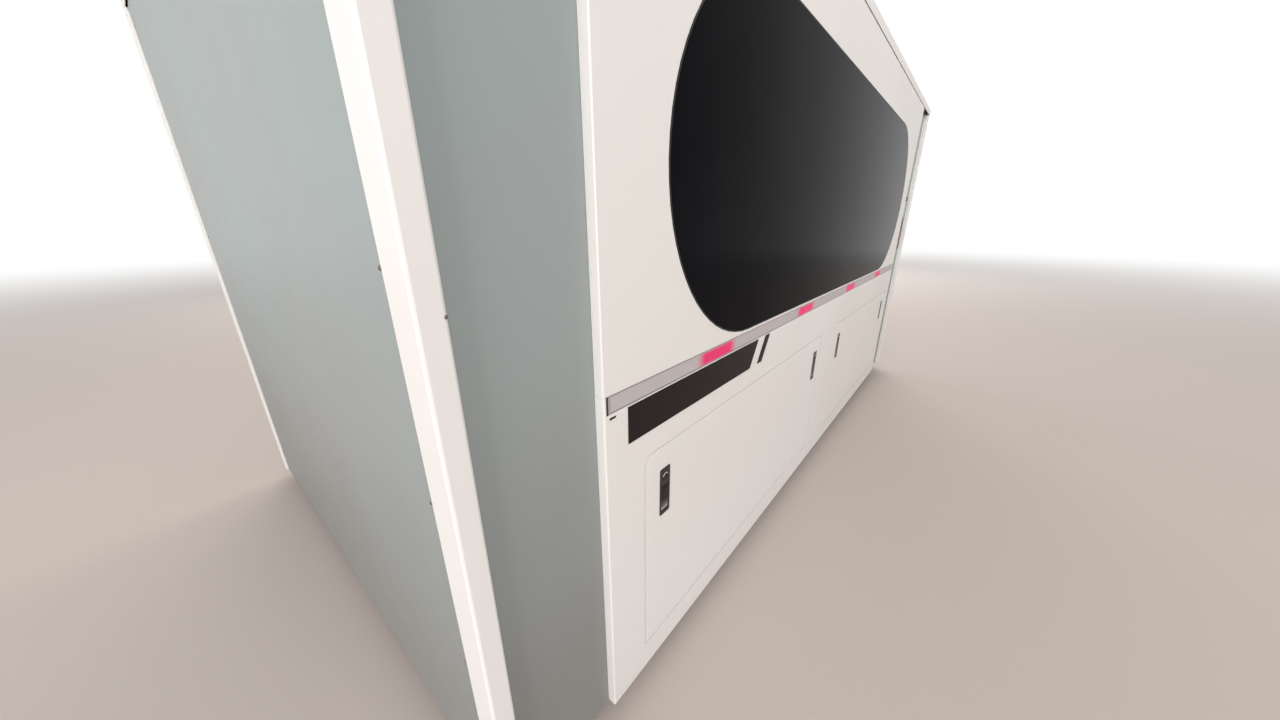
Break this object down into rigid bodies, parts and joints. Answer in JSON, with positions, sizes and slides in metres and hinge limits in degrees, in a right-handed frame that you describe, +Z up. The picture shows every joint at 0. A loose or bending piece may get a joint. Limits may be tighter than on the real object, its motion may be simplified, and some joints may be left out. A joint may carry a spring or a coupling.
{
  "type": "fiber laser cutting machine",
  "caption": "Fully enclosed flat-bed laser cutter with a long stadium window, a status light bar, drop-down access doors, gantry, slat table and slag drawers.",
  "frame": {"origin": "on the floor under the middle of the machine", "axes": "+Z up, +X along the length towards the service end, window side towards -Y"},
  "size_m": [4.26, 2.366, 2.37],
  "materials": {
    "white_paint": "satin powder coat",
    "grey_paint": "satin powder coat",
    "bed_paint": "satin paint on welded steel",
    "black_glass": "gloss, near-black laser-safe pane",
    "black_acrylic": "satin black acrylic",
    "black_rubber": "matte rubber",
    "milky_plastic": "milky diffuser, lit in places",
    "channel_metal": "anodised",
    "latch_metal": "dark plated zinc",
    "paddle_metal": "bright plated",
    "bare_steel": "ground steel",
    "slat_steel": "dull steel",
    "galvanised": "zinc plated",
    "aluminium": "machined",
    "dark_plastic": "matte black",
    "stop_red": "red",
    "start_green": "green"
  },
  "bodies": {
    "machine": {"corner_post_front_left": "white_paint", "corner_post_front_right": "white_paint", "corner_post_rear_left": "white_paint", "corner_post_rear_right": "white_paint", "roof": "white_paint", "upper_cladding": "white_paint", "lower_cladding": "white_paint", "laser_source": "white_paint", "front_wall": "grey_paint", "rear_wall": "grey_paint", "end_wall_left": "grey_paint", "end_wall_right": "grey_paint", "bulkhead": "grey_paint", "bed_frame": "bed_paint", "window_pane": "black_glass", "control_screen": "black_glass", "inlay_plate": "black_acrylic", "inlay_bar": "black_acrylic", "window_seal": "black_rubber", "light_diffuser": "milky_plastic", "light_channel": "channel_metal", "rail_front": "bare_steel", "rail_rear": "bare_steel", "door_rod_left": "bare_steel", "door_rod_right": "bare_steel", "service_door_rod": "bare_steel", "slat_table": "slat_steel", "slag_drawer_left": "galvanised", "slag_drawer_right": "galvanised", "foot_1": "galvanised", "foot_2": "galvanised", "foot_3": "galvanised", "foot_4": "galvanised", "foot_5": "galvanised", "foot_6": "galvanised", "electrical_cabinet": "dark_plastic", "control_panel": "dark_plastic"},
    "access_door_left": {"access_door_left": "white_paint", "latch_body_left_left": "latch_metal", "latch_body_left_right": "latch_metal"},
    "latch_paddle_left_left": {"latch_paddle_left_left": "paddle_metal"},
    "latch_paddle_left_right": {"latch_paddle_left_right": "paddle_metal"},
    "access_door_right": {"access_door_right": "white_paint", "latch_body_right_left": "latch_metal", "latch_body_right_right": "latch_metal"},
    "latch_paddle_right_left": {"latch_paddle_right_left": "paddle_metal"},
    "latch_paddle_right_right": {"latch_paddle_right_right": "paddle_metal"},
    "gantry": {"gantry_beam": "aluminium"},
    "carriage": {"carriage": "aluminium"},
    "head": {"head_slide": "aluminium", "cutting_head": "dark_plastic"},
    "loading_door_left": {"loading_door_left": "white_paint", "loading_window_left": "black_glass", "door_pull_left": "bare_steel"},
    "loading_door_right": {"loading_door_right": "white_paint", "loading_window_right": "black_glass", "door_pull_right": "bare_steel"},
    "service_door": {"service_door": "grey_paint"},
    "stop_button": {"stop_button": "stop_red"},
    "start_button": {"start_button": "start_green"}
  },
  "joints": [
    {"name": "access_door_left_hinge", "type": "hinge", "parent": "machine", "child": "access_door_left", "pos_m": [-0.895, -1.175, 0.174], "axis": [1, 0, 0], "range_deg": [0, 90]},
    {"name": "latch_paddle_left_left_hinge", "type": "hinge", "parent": "access_door_left", "child": "latch_paddle_left_left", "pos_m": [-1.5605, -1.1765, 0.6331], "axis": [1, 0, 0], "range_deg": [0, 35], "stiffness_Nm_per_rad": 0.4},
    {"name": "latch_paddle_left_right_hinge", "type": "hinge", "parent": "access_door_left", "child": "latch_paddle_left_right", "pos_m": [-0.2295, -1.1765, 0.6331], "axis": [1, 0, 0], "range_deg": [0, 35], "stiffness_Nm_per_rad": 0.4},
    {"name": "access_door_right_hinge", "type": "hinge", "parent": "machine", "child": "access_door_right", "pos_m": [0.895, -1.175, 0.174], "axis": [1, 0, 0], "range_deg": [0, 90]},
    {"name": "latch_paddle_right_left_hinge", "type": "hinge", "parent": "access_door_right", "child": "latch_paddle_right_left", "pos_m": [0.2295, -1.1765, 0.6331], "axis": [1, 0, 0], "range_deg": [0, 35], "stiffness_Nm_per_rad": 0.4},
    {"name": "latch_paddle_right_right_hinge", "type": "hinge", "parent": "access_door_right", "child": "latch_paddle_right_right", "pos_m": [1.5605, -1.1765, 0.6331], "axis": [1, 0, 0], "range_deg": [0, 35], "stiffness_Nm_per_rad": 0.4},
    {"name": "gantry_travel", "type": "slide", "parent": "machine", "child": "gantry", "axis": [1, 0, 0], "range_m": [-3, 0]},
    {"name": "carriage_travel", "type": "slide", "parent": "gantry", "child": "carriage", "axis": [0, 1, 0], "range_m": [-0.75, 0.75]},
    {"name": "head_lift", "type": "slide", "parent": "carriage", "child": "head", "axis": [0, 0, 1], "range_m": [-0.12, 0]},
    {"name": "loading_door_left_slide", "type": "slide", "parent": "machine", "child": "loading_door_left", "axis": [1, 0, 0], "range_m": [0, 1.66]},
    {"name": "loading_door_right_slide", "type": "slide", "parent": "machine", "child": "loading_door_right", "axis": [-1, 0, 0], "range_m": [0, 1.66]},
    {"name": "service_door_hinge", "type": "hinge", "parent": "machine", "child": "service_door", "pos_m": [2.117, -0.425, 1.14], "axis": [0, 0, -1], "range_deg": [0, 110]},
    {"name": "stop_button_press", "type": "slide", "parent": "machine", "child": "stop_button", "axis": [0, 1, 0], "range_m": [0, 0.005]},
    {"name": "start_button_press", "type": "slide", "parent": "machine", "child": "start_button", "axis": [0, 1, 0], "range_m": [0, 0.003], "stiffness_N_per_m": 800}
  ]
}
